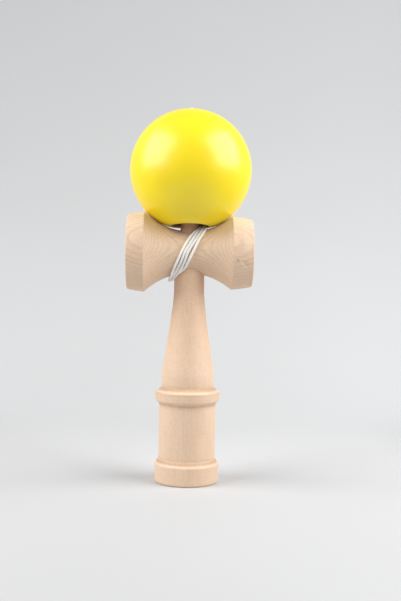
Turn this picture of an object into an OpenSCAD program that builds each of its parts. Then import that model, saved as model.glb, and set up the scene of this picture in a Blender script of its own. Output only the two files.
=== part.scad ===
// Cup and ball toy with a cross piece: a turned handle with a dished foot and a spike,
// a cross piece with two cups that sits on the handle's taper, a bored ball that stands on
// the spike, and one string wound round the crossing and run up the ball's back.
// Millimetres. Z runs up the handle from the standing edge, X runs along the cross piece
// with the large cup at -X, and the front is at -Y.

/* [Foot and barrel] */
// Diameter of the foot
foot_d = 31.7; // [30:0.1:38]
// Height of the foot's upright side
foot_h = 9; // [7.5:0.1:12]
// Height of the slope between the foot and the barrel
foot_slope_h = 2.8; // [2:0.1:5]
// Diameter of the barrel
barrel_d = 28; // [26:0.5:29]
// Height of the barrel
barrel_h = 27; // [18:0.1:34]
// Diameter across the rim of the dish under the foot
base_cup_d = 27; // [24:0.5:28]
// Depth of the dish under the foot
base_cup_depth = 7; // [6:0.1:8]

/* [Collar and grip] */
// Diameter of the collar
collar_d = 31.8; // [30:0.1:38]
// Height of the slope under the collar
collar_under_h = 1.7; // [1.2:0.1:4]
// Height of the collar's upright side
collar_h = 4.1; // [3:0.1:8]
// Height of the slope on top of the collar
collar_top_h = 2.3; // [1:0.1:3]
// Diameter of the grip just above the collar
grip_d = 25.6; // [22:0.1:27]
// Height of the straight stretch of the grip
grip_h = 5.1; // [3:0.1:10]
// Height of the flare from the grip up to the neck
flare_h = 43; // [34:0.5:52]
// Diameter of the neck below the cross piece
neck_d = 14.9; // [13.5:0.1:16]
// Height of the straight neck
neck_h = 6.5; // [4:0.1:10]

/* [Spike] */
// Diameter of the spike where it leaves the cross piece
spike_root_d = 9.4; // [8.4:0.1:9.8]
// Diameter of the spike at its rounded tip
spike_tip_d = 5.2; // [4:0.1:6.5]

/* [Cross piece] */
// Length over both cups
cross_len = 61.6; // [56:0.2:68]
// Diameter of the waist at its narrowest
waist_d = 20.9; // [19.5:0.1:22]
// Diameter of the ridge behind the large cup
large_ridge_d = 39.3; // [36:0.1:44]
// Diameter over the rim of the large cup
large_rim_d = 36.8; // [34:0.2:38]
// Width of the band between the ridge and the rim of the large cup
large_band_w = 8.4; // [6:0.1:10]
// Depth of the large cup
large_cup_depth = 9; // [7:0.1:10]
// Diameter of the ridge behind the small cup
small_ridge_d = 36.2; // [34:0.2:40]
// Diameter over the rim of the small cup
small_rim_d = 33.2; // [32:0.2:36]
// Width of the band between the ridge and the rim of the small cup
small_band_w = 10; // [6:0.1:10.5]
// Depth of the small cup
small_cup_depth = 8.4; // [7:0.1:10]
// Width of the lip round each cup's hollow
lip_w = 1.9; // [1.5:0.1:2.6]
// How far each band bulges between its ridge and its rim
band_bulge = 0.2; // [0:0.05:0.6]

/* [Ball] */
// Diameter of the ball
ball_d = 60; // [58:0.5:66]
// Diameter of the hole for the spike
bore_d = 17; // [16:0.1:18]
// Depth of that hole from its rim to its pointed end
bore_depth = 37; // [33:0.5:40]
// Radius of the rounded rim of that hole
bore_round = 1.6; // [1:0.1:2]
// Diameter of the string hole through the top
string_hole_d = 3.5; // [3:0.1:4.5]

/* [String] */
// Diameter of the string
string_d = 1.1; // [1:0.05:1.2]
// Diameter of the bead inside the ball
bead_d = 8; // [6.5:0.1:9]
// Diameter of the knot under the bead
bead_knot_d = 3.2; // [2.6:0.1:3.6]
// Diameter of the knot inside the cross piece
cross_knot_d = 2.5; // [2.2:0.1:2.7]

/* [Clearances] */
// Radial gap between the handle's taper and the cross piece
seat_gap = 0.06; // [0.02:0.01:0.1]
// Gap between the ball's rim and the saddle of the waist
saddle_gap = 0.5; // [0.45:0.05:1.5]
// Gap between the ball, the bead and the tip that carries them
rest_gap = 0.25; // [0.15:0.05:0.5]
// Gap between the string and the wood that it is wound on
string_gap = 0.1; // [0.1:0.01:0.2]

/* [Hidden] */
$fn = 96;

pale_wood = "#e6c9a4";
yellow_paint = "#f5dd2a";
bead_wood = "#d9b68c";
cotton = "#f2efe6";

// Cuts run past the faces that they open by this much
over = 1;
arc_steps = 6;
curve_steps = 20;

// Corner radii of the turned edges
foot_round = 0.9;
shoulder_round = 1.1;
cove_round = 1.6;
collar_under_round = 0.5;
collar_round = 0.7;
ridge_round = 0.7;
lip_round = 1;
lip_break = 0.5;

neck_r = neck_d / 2;
grip_r = grip_d / 2;
root_r = spike_root_d / 2;
tip_r = spike_tip_d / 2;
string_r = string_d / 2;
ball_r = ball_d / 2;
bore_r = bore_d / 2;

// Waist of the cross piece: one arc on each side of the middle, up to the ridge
large_ridge_x = cross_len / 2 - large_band_w;
small_ridge_x = cross_len / 2 - small_band_w;
function arc_radius(half_chord, rise) = (half_chord ^ 2 + rise ^ 2) / (2 * rise);
large_waist_arc = arc_radius(large_ridge_x, (large_ridge_d - waist_d) / 2);
small_waist_arc = arc_radius(small_ridge_x, (small_ridge_d - waist_d) / 2);
function waist_r_at(x) =
    let (arc = x < 0 ? large_waist_arc : small_waist_arc)
    waist_d / 2 + arc - sqrt(arc ^ 2 - x ^ 2);
// How much longer a step off the waist is along the radius than square to its surface
function waist_slant(x) =
    let (arc = x < 0 ? large_waist_arc : small_waist_arc)
    arc / sqrt(arc ^ 2 - x ^ 2);

// Heights up the handle
barrel_z = foot_h + foot_slope_h;
collar_under_z = barrel_z + barrel_h;
collar_z = collar_under_z + collar_under_h;
collar_top_z = collar_z + collar_h;
grip_z = collar_top_z + collar_top_h;
flare_z = grip_z + grip_h;
neck_z = flare_z + flare_h;
seat_z = neck_z + neck_h;
// The taper starts and ends this far outside the cross piece
seat_lead = 0.6;
cross_z = seat_z + seat_lead + waist_r_at(-neck_r);
spike_z = cross_z + waist_r_at(-root_r) + seat_lead;
function taper_r_at(z) = neck_r + (root_r - neck_r) * (z - seat_z) / (spike_z - seat_z);

// Ball, with heights below measured from its middle
rim_r = bore_r + bore_round;
rim_drop = sqrt((ball_r - bore_round) ^ 2 - rim_r ^ 2) + bore_round;
ball_z = cross_z + waist_r_at(-rim_r) + saddle_gap + rim_drop;
drill_angle = 59;
bore_end = bore_depth - rim_drop;
point_end = bore_end + (bore_r - string_hole_d / 2) / tan(drill_angle);
point_tip = bore_end + bore_r / tan(drill_angle);
hole_flare = 1.4;
// The bead sits in the pointed end, the knot under the bead, and the spike under the knot
bead_at = point_tip - (bead_d / 2 + rest_gap) / sin(drill_angle);
bead_flat = 0.8;
bead_bottom = bead_at - bead_d / 2 + bead_flat;
bead_hole_d = string_d + 0.5;
function knot_h(d) = d - string_r;
bead_knot_at = bead_bottom - rest_gap - knot_h(bead_knot_d) / 2;
tip_z = ball_z + bead_knot_at - knot_h(bead_knot_d) / 2 - rest_gap;

// Knot in the cross piece, in a pocket that opens into the tapered hole at the back
knot_room = 0.2;
cross_knot_y = taper_r_at(cross_z) + knot_room + knot_h(cross_knot_d) / 2;
cross_knot_face = cross_knot_y + knot_h(cross_knot_d) / 2;
// The string runs this far into its knots
knot_sink = 0.3;
exit_hole_d = string_d + 0.9;
exit_flare_d = exit_hole_d + 2.4;

// Route of the string from the winding, under the ball's rim, up its back, over into the
// string hole and down through the bead: points chosen by hand
run_points = [
    [4.6, 4.6, 125.7],
    [4.3, 7.6, 124.9],
    [3.8, 10.6, 125],
    [3.2, 15.2, 127.3],
    [2.5, 20.6, 131.2],
    [1.8, 25, 135.9],
    [1.2, 28.3, 141.5],
    [0.6, 30.3, 147.7],
    [0.2, 31, 154.1],
    [0, 30.3, 160.6],
    [0, 28.3, 166.7],
    [0, 25.1, 172.4],
    [0, 20.7, 177.2],
    [0, 15.5, 181],
    [0, 9.6, 183.7],
    [0, 5.6, 184.7],
    [0, 3.2, 184.9],
    [0, 1, 184],
    [0, 0, 181.7],
    [0, 0, 177.5],
    [0, 0, 171.5],
    [0, 0, 165.5],
    [0, 0, 159.4]
];
run_steps = 2;

// Winding: where each pass crosses the front, the top, the back and the bottom, with t
// counting the turns from the first pass across the front
turns = 4;
strand_step = string_d + 0.6;
front_step = strand_step * 1.4;
top_step = string_d + 0.46;
back_step = strand_step * 2.2;
front_start = 2.8;
wood_room = 0.1;
function front_x(t) = front_start - front_step * t;
function back_x(t) = -back_step * (t + 0.5);
function top_x(t) = root_r + string_r + wood_room + top_step * max(0, turns - 1.75 - t);
function bottom_x(t) = -neck_r - string_r - wood_room - strand_step * (t + 0.25);
// The last pass climbs over the one before it beside the spike
climb_start = turns - 1 - 25 / 360;
climb_turn = 70 / 360;
climb_h = string_d + 0.55;
function ease(u) = let (v = min(1, max(0, u))) v * v * (3 - 2 * v);
function climb_at(t) = climb_h * ease((t - climb_start) / climb_turn);
// The first half pass stands proud where it bends out of its hole
bend_r = 2 * string_d;
bulge = cross_knot_face + string_d + bend_r - waist_d / 2 - string_r - string_gap;
bulge_start = -170 / 360;
bulge_turn = 50 / 360;
function bulge_at(t) = bulge * (1 - ease((t - bulge_start) / bulge_turn));

function winding_point(t) =
    let (
        a = 360 * t,
        s = sin(a),
        middle_x = cos(a) >= 0 ? front_x(t) : back_x(t),
        end_x = s >= 0 ? top_x(t) : bottom_x(t),
        x = middle_x * (1 - abs(s)) + end_x * abs(s),
        lift = (string_r + string_gap) * waist_slant(x) + climb_at(t) + bulge_at(t),
        r = waist_r_at(x) + lift
    )
    [x, -r * cos(a), cross_z + r * s];

rings_per_turn = 24;
winding_first = -160 / 360;
winding_last = turns - 1 + 105 / 360;
winding_rings = round((winding_last - winding_first) * rings_per_turn);
bend_steps = 4;
bend_way = unit(winding_point(winding_first) - winding_point(-0.5));
bend_from = [0, cross_knot_face + string_d, cross_z];
start_points = concat(
    [[0, cross_knot_face - knot_sink, cross_z]],
    [for (i = [0 : bend_steps - 1])
        let (b = 90 * i / bend_steps)
        bend_from + bend_r * [bend_way[0] * (1 - cos(b)), sin(b), bend_way[2] * (1 - cos(b))]]
);
loop_points = [for (i = [0 : winding_rings])
    winding_point(winding_first + (winding_last - winding_first) * i / winding_rings)];
loop_end = loop_points[winding_rings];
// The winding ends face to face with the start of the run, all but touching it
end_way = unit(run_points[0] - loop_end);
end_gap = 0.05;
winding_path = concat(start_points, loop_points, [run_points[0] - end_gap * end_way]);

// Vectors, corners and curves
function unit(v) = v / norm(v);
function turned(v, a) = [v[0] * cos(a) - v[1] * sin(a), v[0] * sin(a) + v[1] * cos(a)];
function corner(before, at, after, radius) =
    radius == 0 ? [at] :
    let (
        u = unit(before - at),
        v = unit(after - at),
        half = acos(u * v) / 2,
        middle = at + unit(u + v) * radius / sin(half),
        start = at + u * radius / tan(half) - middle,
        side = u[0] * v[1] - u[1] * v[0] > 0 ? -1 : 1
    )
    [for (i = [0 : arc_steps]) middle + turned(start, -side * (2 * half - 180) * i / arc_steps)];
// An outline given as [radius, height, corner radius] from one end of the axis to the other
function rounded(outline) =
    let (
        n = len(outline),
        p = [for (o = outline) [o[0], o[1]]]
    )
    [for (i = [0 : n - 1])
        each corner(p[max(i - 1, 0)], p[i], p[min(i + 1, n - 1)], outline[i][2])];
function bezier(a, b, c, d, u) =
    (1 - u) ^ 3 * a + 3 * (1 - u) ^ 2 * u * b + 3 * (1 - u) * u ^ 2 * c + u ^ 3 * d;
function spline(a, b, c, d, u) =
    0.5 * (2 * b + (c - a) * u + (2 * a - 5 * b + 4 * c - d) * u ^ 2 + (3 * b - a - 3 * c + d) * u ^ 3);
function smooth_path(p, steps) =
    let (n = len(p) - 1)
    concat(
        [for (i = [0 : n - 1], k = [0 : steps - 1])
            spline(p[max(i - 1, 0)], p[i], p[i + 1], p[min(i + 2, n)], k / steps)],
        [p[n]]
    );

// A tube of triangles along a path
function heading(path, i) = unit(path[min(i + 1, len(path) - 1)] - path[max(i - 1, 0)]);
function sideways(path, i, hint) =
    i == len(path) ? [] :
    let (
        way = heading(path, i),
        side = unit(hint - (hint * way) * way)
    )
    concat([side], sideways(path, i + 1, side));
module tube(path, radius, sides) {
    n = len(path);
    across = sideways(path, 0, [1, 0, 0]);
    points = [for (i = [0 : n - 1], k = [0 : sides - 1])
        let (
            a = 360 * k / sides,
            up = cross(heading(path, i), across[i])
        )
        path[i] + radius * (cos(a) * across[i] + sin(a) * up)];
    walls = [for (i = [0 : n - 2], k = [0 : sides - 1])
        let (
            a = i * sides + k,
            b = i * sides + (k + 1) % sides
        )
        each [[a, a + sides, b], [b, a + sides, b + sides]]];
    last = (n - 1) * sides;
    ends = [for (k = [1 : sides - 2]) each [[0, k, k + 1], [last, last + k + 1, last + k]]];
    polyhedron(points = points, faces = concat(walls, ends));
}

// Least gap of the winding to itself, from each point to the stretches of the other turns
function off_stretch(p, a, b) =
    let (u = min(1, max(0, (p - a) * (b - a) / ((b - a) * (b - a)))))
    norm(p - a - u * (b - a));
far_rings = rings_per_turn / 3;
winding_gap = min([for (i = [0 : len(winding_path) - 1])
    for (j = [i + far_rings : 1 : len(winding_path) - 2])
        off_stretch(winding_path[i], winding_path[j], winding_path[j + 1])]) - string_d;
echo(winding_least_gap_mm = winding_gap);

// A dish hollowed into a flat face at the origin, opening towards -Z, with a broken edge
module dish(rim_d, depth) {
    ball = arc_radius(rim_d / 2, depth);
    middle = depth - ball;
    broken_r = sqrt(ball ^ 2 - (lip_break - middle) ^ 2);
    translate([0, 0, middle]) sphere(r = ball);
    translate([0, 0, -over])
        cylinder(h = over + lip_break, r1 = broken_r + over + lip_break, r2 = broken_r);
}

flare_neck_ease = 10;
flare_grip_ease = 4;
function flare_points() =
    [for (i = [0 : curve_steps])
        let (p = bezier(
            [grip_r, flare_z],
            [grip_r, flare_z + flare_grip_ease],
            [neck_r, neck_z - flare_neck_ease],
            [neck_r, neck_z],
            i / curve_steps))
        [p[0], p[1], 0]];

module handle() {
    dome = [for (i = [1 : arc_steps])
        let (a = 90 * i / arc_steps)
        [tip_r * cos(a), tip_z - tip_r + tip_r * sin(a), 0]];
    outline = concat(
        [
            [0, 0, 0],
            [foot_d / 2, 0, foot_round],
            [foot_d / 2, foot_h, shoulder_round],
            [barrel_d / 2, barrel_z, cove_round],
            [barrel_d / 2, collar_under_z, collar_under_round],
            [collar_d / 2, collar_z, collar_under_round],
            [collar_d / 2, collar_top_z, collar_round],
            [grip_r, grip_z, 0]
        ],
        flare_points(),
        [
            [neck_r, seat_z, 0],
            [root_r, spike_z, 0],
            [tip_r, tip_z - tip_r, 0]
        ],
        dome
    );
    color(pale_wood) difference() {
        rotate_extrude() polygon(rounded(outline));
        dish(base_cup_d, base_cup_depth);
    }
}

module cross_piece() {
    half = cross_len / 2;
    // Each band's middle stands out a little from the line between its ridge and its rim
    large_band = [(large_ridge_d + large_rim_d) / 4 + band_bulge, -(large_ridge_x + half) / 2, 0];
    small_band = [(small_ridge_d + small_rim_d) / 4 + band_bulge, (small_ridge_x + half) / 2, 0];
    waist = [for (i = [1 : 2 * curve_steps - 1])
        let (x = -large_ridge_x + (large_ridge_x + small_ridge_x) * i / (2 * curve_steps))
        [waist_r_at(x), x, 0]];
    outline = concat(
        [
            [0, -half, 0],
            [large_rim_d / 2, -half, lip_round],
            large_band,
            [large_ridge_d / 2, -large_ridge_x, ridge_round]
        ],
        waist,
        [
            [small_ridge_d / 2, small_ridge_x, ridge_round],
            small_band,
            [small_rim_d / 2, half, lip_round],
            [0, half, 0]
        ]
    );
    back = waist_d / 2;
    color(pale_wood) difference() {
        translate([0, 0, cross_z]) difference() {
            rotate([0, 90, 0]) rotate_extrude() polygon(rounded(outline));
            translate([-half, 0, 0]) rotate([0, 90, 0]) dish(large_rim_d - 2 * lip_w, large_cup_depth);
            translate([half, 0, 0]) rotate([0, -90, 0]) dish(small_rim_d - 2 * lip_w, small_cup_depth);
            rotate([-90, 0, 0]) cylinder(h = back + over, d = exit_hole_d);
            rotate([-90, 0, 0]) cylinder(h = cross_knot_face + knot_room, d = cross_knot_d + 2 * knot_room);
            translate([0, back - (exit_flare_d - exit_hole_d) / 2, 0]) rotate([-90, 0, 0])
                cylinder(h = over + (exit_flare_d - exit_hole_d) / 2, d1 = exit_hole_d,
                    d2 = exit_flare_d + 2 * over);
        }
        translate([0, 0, seat_z])
            cylinder(h = spike_z - seat_z, r1 = neck_r + seat_gap, r2 = root_r + seat_gap);
    }
}

module ball() {
    rim_z = -rim_drop + bore_round;
    rim_start = -80;
    rim = [for (i = [0 : 2 * arc_steps])
        let (a = rim_start + (-180 - rim_start) * i / (2 * arc_steps))
        [rim_r + bore_round * cos(a), rim_z + bore_round * sin(a)]];
    hole_r = string_hole_d / 2;
    hollow = concat(
        [[0, -ball_r - over], [rim_r + over, -ball_r - over]],
        rim,
        [
            [bore_r, bore_end],
            [hole_r, point_end],
            [hole_r, ball_r - hole_flare],
            [hole_r + hole_flare + over, ball_r + over],
            [0, ball_r + over]
        ]
    );
    color(yellow_paint) translate([0, 0, ball_z]) difference() {
        sphere(r = ball_r);
        rotate_extrude() polygon(hollow);
    }
}

module bead() {
    color(bead_wood) translate([0, 0, ball_z + bead_at]) difference() {
        sphere(d = bead_d);
        cylinder(h = bead_d + over, d = bead_hole_d, center = true);
        translate([0, 0, -bead_d + bead_flat - bead_d / 2]) cylinder(h = bead_d, d = bead_d);
    }
}

// A knot: a round turn of string drawn tight on a core, with its axis along Z
module knot(size) {
    sphere(d = knot_h(size));
    rotate_extrude() translate([(size - string_d) / 2, 0]) circle(d = string_d);
}

module string_winding() {
    color(cotton) tube(winding_path, string_r, 6);
}

module string_run() {
    color(cotton) tube(smooth_path(run_points, run_steps), string_r, 8);
}

module cross_knot() {
    color(cotton) translate([0, cross_knot_y, cross_z]) rotate([90, 0, 0]) knot(cross_knot_d);
}

module bead_knot() {
    color(cotton) translate([0, 0, ball_z + bead_knot_at]) knot(bead_knot_d);
}

handle();
cross_piece();
ball();
bead();
string_winding();
string_run();
cross_knot();
bead_knot();
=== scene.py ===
import math

import bpy
import numpy as np
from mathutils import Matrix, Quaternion, Vector


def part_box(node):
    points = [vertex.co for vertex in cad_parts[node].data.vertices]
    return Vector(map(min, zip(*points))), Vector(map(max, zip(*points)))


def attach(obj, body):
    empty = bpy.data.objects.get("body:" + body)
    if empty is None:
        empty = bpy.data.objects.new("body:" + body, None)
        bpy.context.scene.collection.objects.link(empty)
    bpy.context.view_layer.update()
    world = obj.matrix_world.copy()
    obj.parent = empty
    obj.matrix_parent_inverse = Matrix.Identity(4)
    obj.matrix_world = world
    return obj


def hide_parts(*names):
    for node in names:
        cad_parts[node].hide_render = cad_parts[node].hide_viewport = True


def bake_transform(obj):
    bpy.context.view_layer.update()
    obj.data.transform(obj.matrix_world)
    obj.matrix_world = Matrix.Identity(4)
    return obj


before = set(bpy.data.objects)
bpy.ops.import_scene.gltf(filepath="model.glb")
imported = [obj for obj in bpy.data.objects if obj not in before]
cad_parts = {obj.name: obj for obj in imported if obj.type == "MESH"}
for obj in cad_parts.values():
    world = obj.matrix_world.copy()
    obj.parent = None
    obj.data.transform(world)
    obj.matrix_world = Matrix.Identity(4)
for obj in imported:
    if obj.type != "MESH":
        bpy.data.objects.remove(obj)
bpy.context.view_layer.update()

# Sizes below are in millimetres, as in the part's source, and meshes are in metres
MM = 0.001

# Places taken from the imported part
BALL_R = (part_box("ball")[1].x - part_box("ball")[0].x) / 2 / MM
BALL_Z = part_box("ball")[1].z / MM - BALL_R
RIM_BOTTOM_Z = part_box("ball")[0].z / MM
CROSS_Z = (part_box("cross_piece")[0].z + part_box("cross_piece")[1].z) / 2 / MM
CROSS_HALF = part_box("cross_piece")[1].x / MM
TIP_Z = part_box("handle")[1].z / MM
BEAD_KNOT_Z = (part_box("bead_knot")[0].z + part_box("bead_knot")[1].z) / 2 / MM
CROSS_KNOT_Y = (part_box("cross_knot")[0].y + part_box("cross_knot")[1].y) / 2 / MM

# Handle, from the standing edge up
FOOT_R, FOOT_H = 15.85, 9
BARREL_R, BARREL_Z = 14, 11.8
COLLAR_R, COLLAR_UNDER_Z, COLLAR_Z, COLLAR_TOP_Z = 15.9, 38.8, 40.5, 44.6
GRIP_R, GRIP_Z, FLARE_Z = 12.8, 46.9, 52
NECK_R, NECK_Z, SEAT_Z = 7.45, 95, 101.5
ROOT_R, SPIKE_Z, TIP_R = 4.7, 124.831, 2.6
FLARE_GRIP_EASE, FLARE_NECK_EASE = 4, 10
BASE_CUP_R, BASE_CUP_DEPTH = 13.5, 7

# Cross piece, with the large cup at -X
WAIST_R = 10.45
LARGE_RIDGE_R, LARGE_RIM_R, LARGE_BAND, LARGE_DEPTH = 19.65, 18.4, 8.4, 9
SMALL_RIDGE_R, SMALL_RIM_R, SMALL_BAND, SMALL_DEPTH = 18.1, 16.6, 10, 8.4
LIP_W, LIP_BREAK, BAND_BULGE = 1.9, 0.5, 0.2
SEAT_GAP = 0.06
EXIT_HOLE_R, EXIT_FLARE, KNOT_POCKET_R, KNOT_POCKET_END = 1, 1.2, 1.45, 8.39

# Ball
BORE_R, BORE_DEPTH, BORE_ROUND = 8.5, 37, 1.6
STRING_HOLE_R, HOLE_FLARE = 1.75, 1.4
DRILL_ANGLE = math.radians(59)

# String
STRING_D = 1.38
STRING_R = STRING_D / 2

# Photograph and camera: from a little to the left, and rolled, so that the toy leans as it does there
IMAGE_LONG_SIDE = 601
FOCAL_PX = 867.5
SENSOR = 36
CLIP_START = 10 * MM
CAMERA_AT = Vector((-5, -430, 97.5)) * MM
CAMERA_AIM = Vector((5.75, 0, 89.75)) * MM
CAMERA_ROLL = math.radians(0.91)


def make_camera():
    camera = bpy.data.cameras.new("camera")
    camera.sensor_width = SENSOR
    camera.lens = FOCAL_PX / IMAGE_LONG_SIDE * SENSOR
    camera.clip_start = CLIP_START
    holder = bpy.data.objects.new("camera", camera)
    holder.location = CAMERA_AT
    aim = (CAMERA_AIM - CAMERA_AT).to_track_quat("-Z", "Y")
    holder.rotation_euler = (aim @ Quaternion((0, 0, 1), CAMERA_ROLL)).to_euler()
    bpy.context.scene.collection.objects.link(holder)
    bpy.context.scene.camera = holder


make_camera()


# Meshes

# Edges that turn by more degrees than this look sharp
SHARP_ANGLE = 35
# A point nearer to the axis than this is on it
ON_AXIS = 1e-6


def shade(mesh, sharp_angle):
    mesh.shade_smooth()
    mesh.set_sharp_from_angle(angle=math.radians(sharp_angle))


def new_piece(name, vertices, faces, materials, sharp_angle=SHARP_ANGLE):
    """A smooth-shaded mesh object from points in millimetres."""
    mesh = bpy.data.meshes.new(name)
    mesh.from_pydata((np.asarray(vertices) * MM).tolist(), [], faces)
    mesh.validate()
    shade(mesh, sharp_angle)
    for material in materials:
        mesh.materials.append(material)
    piece = bpy.data.objects.new(name, mesh)
    bpy.context.scene.collection.objects.link(piece)
    return piece


def fillet(before, at, after, radius, steps=8):
    """The points of a corner rounded to a radius."""
    before, at, after = (np.array(p, float) for p in (before, at, after))
    if radius == 0:
        return [at]
    u = (before - at) / np.linalg.norm(before - at)
    v = (after - at) / np.linalg.norm(after - at)
    half = math.acos(np.clip(u @ v, -1, 1)) / 2
    middle = at + (u + v) / np.linalg.norm(u + v) * radius / math.sin(half)
    first = at + u * radius / math.tan(half) - middle
    last = at + v * radius / math.tan(half) - middle
    sweep = math.pi - 2 * half
    points = []
    for i in range(steps + 1):
        share = i / steps
        a = math.sin((1 - share) * sweep) / math.sin(sweep)
        b = math.sin(share * sweep) / math.sin(sweep)
        points.append(middle + a * first + b * last)
    return points


def rounded(outline):
    """An outline of (radius, height, corner radius) with its corners rounded."""
    last = len(outline) - 1
    points = []
    for i, (r, h, corner) in enumerate(outline):
        before, after = outline[max(i - 1, 0)], outline[min(i + 1, last)]
        points += fillet(before[:2], (r, h), after[:2], corner)
    return points


def dense(points, longest):
    """The same outline with no stretch longer than that."""
    out = [np.array(points[0], float)]
    for a, b in zip(points, points[1:]):
        a, b = np.array(a, float), np.array(b, float)
        count = max(1, math.ceil(np.linalg.norm(b - a) / longest))
        out += [a + (b - a) * (k + 1) / count for k in range(count)]
    return out


def arc(middle, radius, start, end, steps):
    """Points of (radius, height) along an arc, with angles in radians from the radius axis."""
    angles = np.linspace(start, end, steps + 1)
    return [(middle[0] + radius * math.cos(a), middle[1] + radius * math.sin(a)) for a in angles]


def dish(rim_r, depth, steps=23):
    """The hollow of a cup, from its middle to the inner edge of its lip, with depth as height."""
    ball = (rim_r ** 2 + depth ** 2) / (2 * depth)
    edge = math.asin((ball - depth + LIP_BREAK) / ball)
    return arc((0, depth - ball), ball, math.pi / 2, edge, steps)


def lathe(outline, segments):
    """Vertices, faces and each face's stretch of the outline, for an outline of (radius, height) turned
    about the Z axis. It runs from the axis to the axis, or back to its start, with the solid on its left."""
    points, rings = [], []
    for r, h in outline:
        if r < ON_AXIS:
            rings.append([len(points)])
            points.append((0, 0, h))
            continue
        rings.append(list(range(len(points), len(points) + segments)))
        for k in range(segments):
            a = 2 * math.pi * k / segments
            points.append((r * math.cos(a), r * math.sin(a), h))
    faces, bands = [], []
    for i, (low, high) in enumerate(zip(rings, rings[1:])):
        for k in range(segments):
            n = (k + 1) % segments
            if len(low) == 1 and len(high) == 1:
                continue
            if len(low) == 1:
                faces.append((low[0], high[n], high[k]))
            elif len(high) == 1:
                faces.append((low[k], low[n], high[0]))
            else:
                faces.append((low[k], low[n], high[n], high[k]))
            bands.append(i)
    return np.array(points, float), faces, bands


def bezier(a, b, c, d, steps):
    """Points of (radius, height) along a curve from a to d, which b and c pull on."""
    u = np.linspace(0, 1, steps + 1)[:, None]
    a, b, c, d = (np.array(p, float) for p in (a, b, c, d))
    return (1 - u) ** 3 * a + 3 * (1 - u) ** 2 * u * b + 3 * (1 - u) * u ** 2 * c + u ** 3 * d


# Materials

# Powers of a level for its red, green and blue, so that shade is warm
WARM_POWERS = (0.8, 1.1, 1.5)


class Nodes:
    """Short calls that add nodes to one material."""

    def __init__(self, name):
        self.material = bpy.data.materials.new(name)
        self.material.use_nodes = True
        self.tree = self.material.node_tree
        self.shader = self.tree.nodes["Principled BSDF"]
        self.place = self.add("TexCoord").outputs["Object"]

    def add(self, kind, sockets=(), **settings):
        node = self.tree.nodes.new("ShaderNode" + kind)
        for name, value in settings.items():
            setattr(node, name, value)
        for key, value in dict(sockets).items():
            self.put(node.inputs[key], value)
        return node

    def put(self, socket, value):
        if isinstance(value, bpy.types.NodeSocket):
            self.tree.links.new(value, socket)
        else:
            socket.default_value = value

    def set(self, **values):
        """Sets sockets of the shader, such as Base_Color."""
        for name, value in values.items():
            self.put(self.shader.inputs[name.replace("_", " ")], value)

    def math(self, operation, a, b=0.0, clamp=False):
        return self.add("Math", {0: a, 1: b}, operation=operation, use_clamp=clamp).outputs[0]

    def times(self, value, *others):
        for other in others:
            value = self.math("MULTIPLY", value, other)
        return value

    def vector(self, operation, a, b=(0, 0, 0)):
        node = self.add("VectorMath", {0: a, 1: b}, operation=operation)
        return node.outputs["Value" if operation in ("LENGTH", "DISTANCE") else "Vector"]

    def parts(self, vector):
        return self.add("SeparateXYZ", {0: vector}).outputs

    def join(self, x, y, z):
        return self.add("CombineXYZ", {0: x, 1: y, 2: z}).outputs[0]

    def noise(self, vector, scale, detail=3.0, roughness=0.5):
        sockets = {"Vector": vector, "Scale": scale, "Detail": detail, "Roughness": roughness}
        return self.add("TexNoise", sockets).outputs[0]

    def fade(self, value, low, high, to_low=0.0, to_high=1.0):
        sockets = {0: value, 1: low, 2: high, 3: to_low, 4: to_high}
        return self.add("MapRange", sockets, interpolation_type="SMOOTHSTEP").outputs[0]

    def rise(self, value, ends, to_low=0.0, to_high=1.0):
        """A fade between two places in millimetres."""
        return self.fade(value, ends[0] * MM, ends[1] * MM, to_low, to_high)

    def fall(self, value, ends):
        return self.rise(value, ends, 1.0, 0.0)

    def band(self, value, ends, soft):
        """One between two places in millimetres, with soft ends, and nought outside them."""
        start, end = ends
        return self.times(
            self.rise(value, (start - soft, start + soft)),
            self.fall(value, (end - soft, end + soft)),
        )

    def mix(self, share, a, b):
        return self.add("Mix", {0: share, 6: a, 7: b}, data_type="RGBA").outputs[2]

    def ramp(self, value, longest, stops):
        """A warm grey that follows stops of (place, level), from 0 to the longest place."""
        node = self.add("ValToRGB", {0: self.math("DIVIDE", value, longest)})
        points = node.color_ramp.elements
        while len(points) < len(stops):
            points.new(1)
        for point, (spot, level) in zip(points, stops):
            point.position = spot / longest
            point.color = (*(level ** power for power in WARM_POWERS), 1)
        return node.outputs[0]

    def tint(self, colour, value):
        """The colour times a grey value."""
        if not isinstance(colour, bpy.types.NodeSocket):
            colour = colour[:3]
        return self.vector("MULTIPLY", colour, self.join(value, value, value))

    def tinted(self, share, tone, factors):
        """The tone, with its red, green and blue times the factors where the share is one."""
        return self.mix(share, tone, self.vector("MULTIPLY", tone, factors))

    def bump(self, height, relief, strength):
        """Relief in millimetres."""
        sockets = {"Height": height, "Distance": relief * MM, "Strength": strength}
        self.set(Normal=self.add("Bump", sockets).outputs[0])


def colour(r, g, b):
    """A colour given as it looks on screen, from 0 to 255, as linear light."""
    def linear(v):
        v /= 255
        return v / 12.92 if v <= 0.04045 else ((v + 0.055) / 1.055) ** 2.4
    return (linear(r), linear(g), linear(b), 1)


PALE_WOOD = colour(228, 198, 169)
DARK_WOOD = colour(198, 161, 125)
# Bare wood of the ball's hole, also the bead's paler wood; darker and redder than such wood, as painted shade
# inside the hole
RAW_WOOD = colour(160, 112, 84)
KNOT_BROWN = colour(134, 90, 62)
YELLOW = colour(255, 229, 15)
DEEP_YELLOW = colour(253, 224, 9)
COTTON = colour(255, 254, 251)
# Painted shade of the cotton in the grooves between its plies
COTTON_SHADE = colour(226, 221, 213)

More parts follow.
